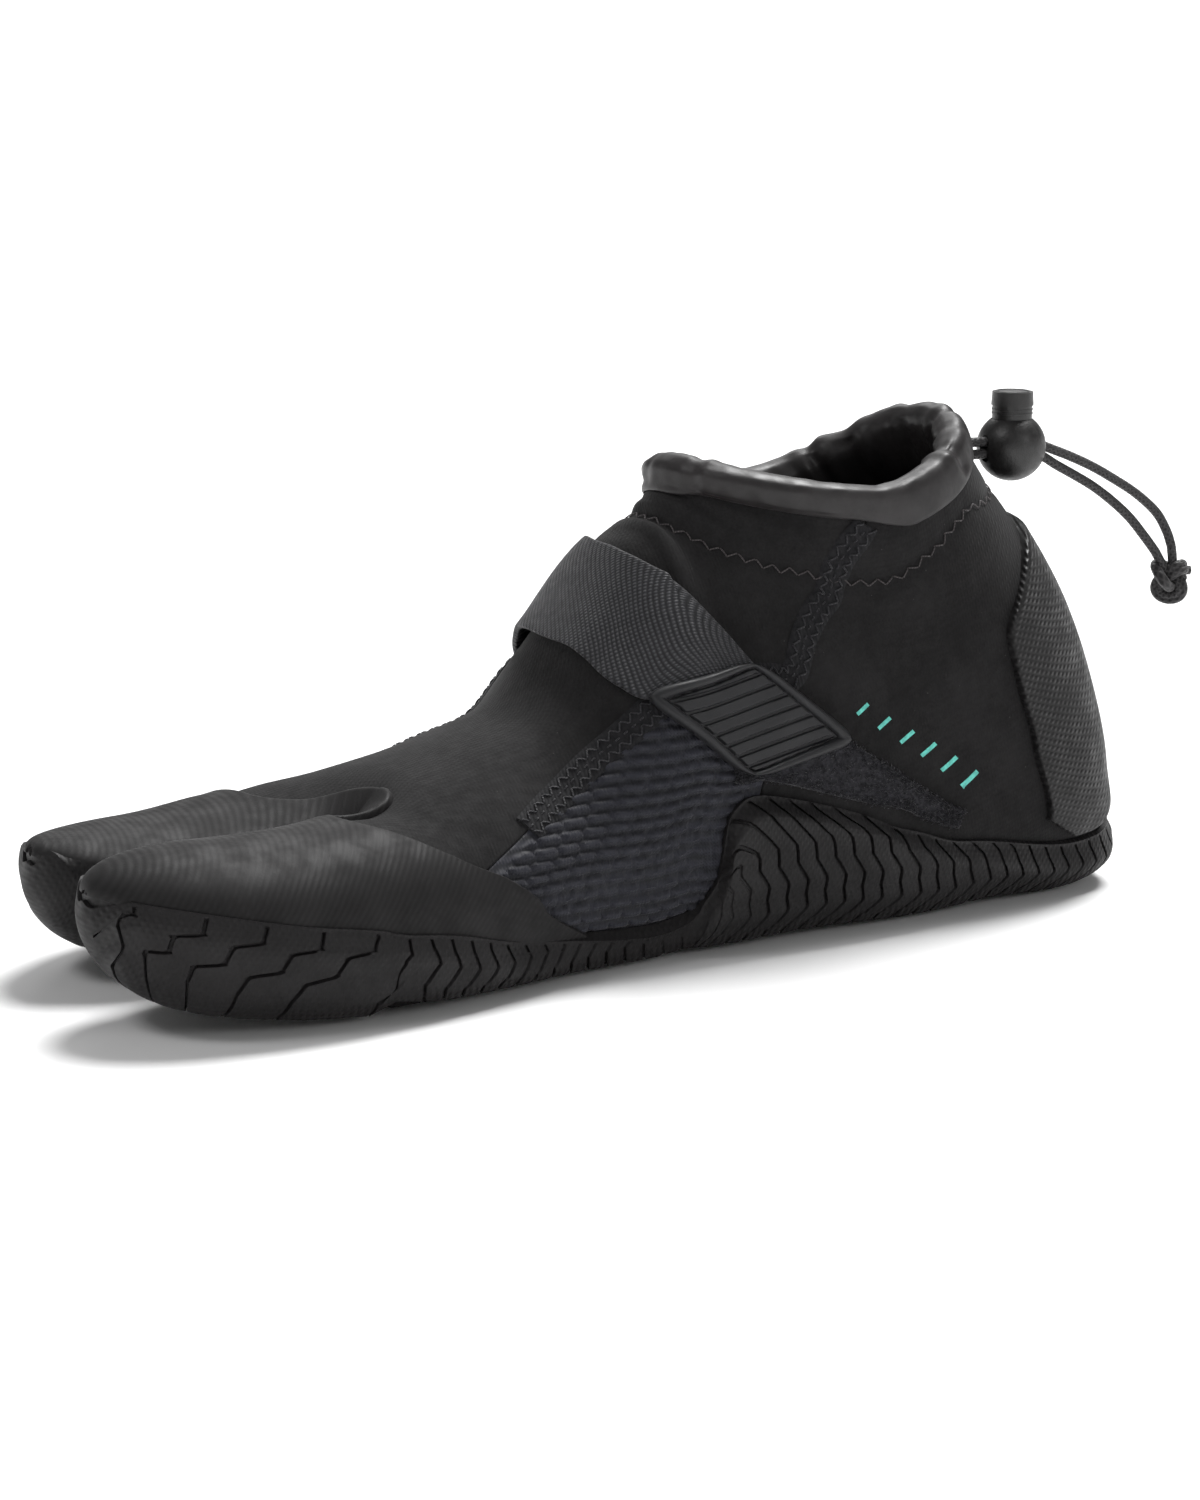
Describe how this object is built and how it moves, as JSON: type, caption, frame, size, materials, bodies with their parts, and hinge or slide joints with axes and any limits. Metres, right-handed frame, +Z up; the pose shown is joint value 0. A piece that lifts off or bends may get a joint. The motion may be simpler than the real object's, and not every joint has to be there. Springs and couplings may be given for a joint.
{
  "type": "neoprene reef boot",
  "caption": "Low split-toe neoprene reef boot with moulded rubber outsole, toe and heel overlays, hook-and-loop instep strap and a cuff drawcord with cord lock.",
  "frame": {"origin": "on the ground under the middle of the outsole, in line with the back of the heel", "axes": "+Z up, toes towards -Y, heel towards +Y, +X towards the inner side of a right foot, where the strap closes"},
  "size_m": [0.1042, 0.3147, 0.1215],
  "materials": {
    "outsole_rubber": "matte",
    "footbed_foam": "matte",
    "neoprene": "matte knit face",
    "mesh_neoprene": "embossed mesh",
    "overlay_rubber": "satin ribbed",
    "smooth_skin": "smooth satin",
    "thread": "matte",
    "hard_plastic": "satin",
    "cord": "braided",
    "spring_steel": "satin",
    "webbing": "twill",
    "hook_tape": "matte",
    "loop_fabric": "fuzzy",
    "moulded_rubber": "satin"
  },
  "bodies": {
    "boot": {"outsole": "outsole_rubber", "footbed": "footbed_foam", "bottom_sock": "neoprene", "big_toe_pocket": "neoprene", "small_toes_pocket": "neoprene", "vamp_panel": "neoprene", "side_panel_near": "mesh_neoprene", "side_panel_far": "mesh_neoprene", "quarter_near": "neoprene", "quarter_far": "neoprene", "toe_overlay": "overlay_rubber", "heel_overlay": "overlay_rubber", "cuff_lining": "smooth_skin", "cuff_stitching": "thread", "flatlock_seam_near": "thread", "flatlock_seam_far": "thread", "back_seam_tape": "thread", "cord_guide": "hard_plastic", "elastic_cord": "cord", "cord_knot": "cord", "instep_strap": "webbing", "loop_patch": "loop_fabric"},
    "strap_end": {"strap_flap": "webbing", "hook_patch": "hook_tape", "pull_tab": "moulded_rubber"},
    "cord_lock": {"cord_lock_body": "hard_plastic", "cord_lock_spring": "spring_steel"},
    "lock_button": {"cord_lock_button": "hard_plastic"}
  },
  "joints": [
    {"name": "strap_peel", "type": "hinge", "parent": "boot", "child": "strap_end", "pos_m": [0.01571, -0.00406, 0.07804], "axis": [-0.1335, -0.6084, -0.7824], "range_deg": [0, 110]},
    {"name": "cord_lock_slide", "type": "slide", "parent": "boot", "child": "cord_lock", "axis": [0, 1, 0], "range_m": [-0.0035, 0]},
    {"name": "lock_button_press", "type": "slide", "parent": "cord_lock", "child": "lock_button", "axis": [0, 0, -1], "range_m": [0, 0.0015], "stiffness_N_per_m": 800, "deforming": ["cord_lock_spring"]}
  ]
}
